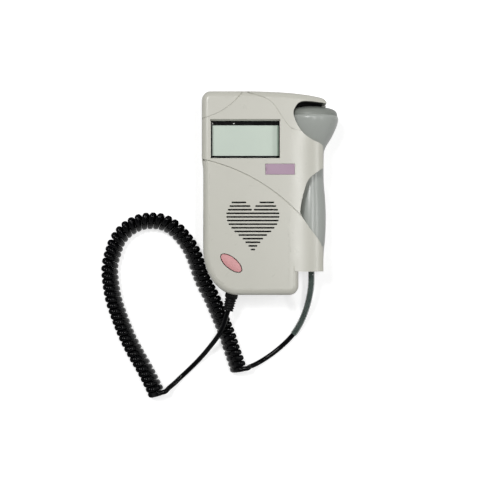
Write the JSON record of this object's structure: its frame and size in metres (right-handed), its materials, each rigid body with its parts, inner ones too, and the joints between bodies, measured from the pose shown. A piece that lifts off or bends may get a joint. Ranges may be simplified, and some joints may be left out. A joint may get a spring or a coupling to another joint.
{
  "type": "fetal doppler monitor",
  "caption": "Pocket fetal doppler: grey case with display, heart of speaker slots and pink button, a probe in a side holster and a black curly cord.",
  "frame": {"origin": "middle of the case's footprint on the surface it lies on, without the cord", "axes": "+X to the probe's side, +Y to the top end, +Z out of the front"},
  "size_m": [0.1689, 0.2163, 0.0386],
  "materials": {
    "case_plastic": "fine satin",
    "clear_plastic": "clear",
    "black_plastic": "satin",
    "display_glass": "gloss",
    "white_plastic": "satin",
    "board": "solder mask",
    "steel": "satin",
    "paper": "matte",
    "cloth": "woven",
    "label_plastic": "satin",
    "button_plastic": "satin",
    "cell_wrap": "gloss",
    "brass": "satin",
    "probe_plastic": "satin",
    "probe_face_plastic": "satin",
    "crystal": "matte",
    "black_rubber": "satin",
    "clear_tube": "clear",
    "cord_jacket": "gloss"
  },
  "bodies": {
    "housing": {"front_cover": "case_plastic", "rear_cover": "case_plastic", "display_lens": "clear_plastic", "display_frame": "black_plastic", "display_glass": "display_glass", "display_backlight": "white_plastic", "circuit_board": "board", "speaker_frame": "steel", "speaker_cone": "paper", "speaker_magnet": "steel", "speaker_cloth": "cloth", "front_label": "label_plastic", "button_switch": "black_plastic", "battery_cell_left": "cell_wrap", "battery_cell_right": "cell_wrap", "contact_bridge": "brass", "contact_positive": "brass", "contact_negative": "brass", "cover_screw_1": "steel", "cover_screw_2": "steel", "cover_screw_3": "steel", "cover_screw_4": "steel", "cord_socket": "black_plastic", "earphone_jack": "black_plastic", "curly_cord": "cord_jacket"},
    "probe": {"probe_front_shell": "probe_plastic", "probe_rear_shell": "probe_plastic", "probe_face": "probe_face_plastic", "probe_crystal": "crystal", "probe_board": "board", "probe_gland": "black_rubber", "probe_cord_sleeve": "clear_tube", "probe_end_cord": "cord_jacket"},
    "button": {"power_button": "button_plastic"},
    "door": {"battery_door": "case_plastic"},
    "plug": {"plug_barrel": "steel", "plug_boot": "black_rubber", "plug_end_cord": "cord_jacket"}
  },
  "joints": [
    {"name": "probe_slide", "type": "slide", "parent": "housing", "child": "probe", "axis": [1, 0, 0], "range_m": [0, 0.04]},
    {"name": "button_press", "type": "slide", "parent": "housing", "child": "button", "axis": [0, 0, -1], "range_m": [0, 0.001], "stiffness_N_per_m": 500},
    {"name": "door_slide", "type": "slide", "parent": "housing", "child": "door", "axis": [0, 1, 0], "range_m": [0, 0.058]},
    {"name": "plug_pull", "type": "slide", "parent": "housing", "child": "plug", "axis": [-0.225, -0.9744, 0], "range_m": [0, 0.014]}
  ]
}
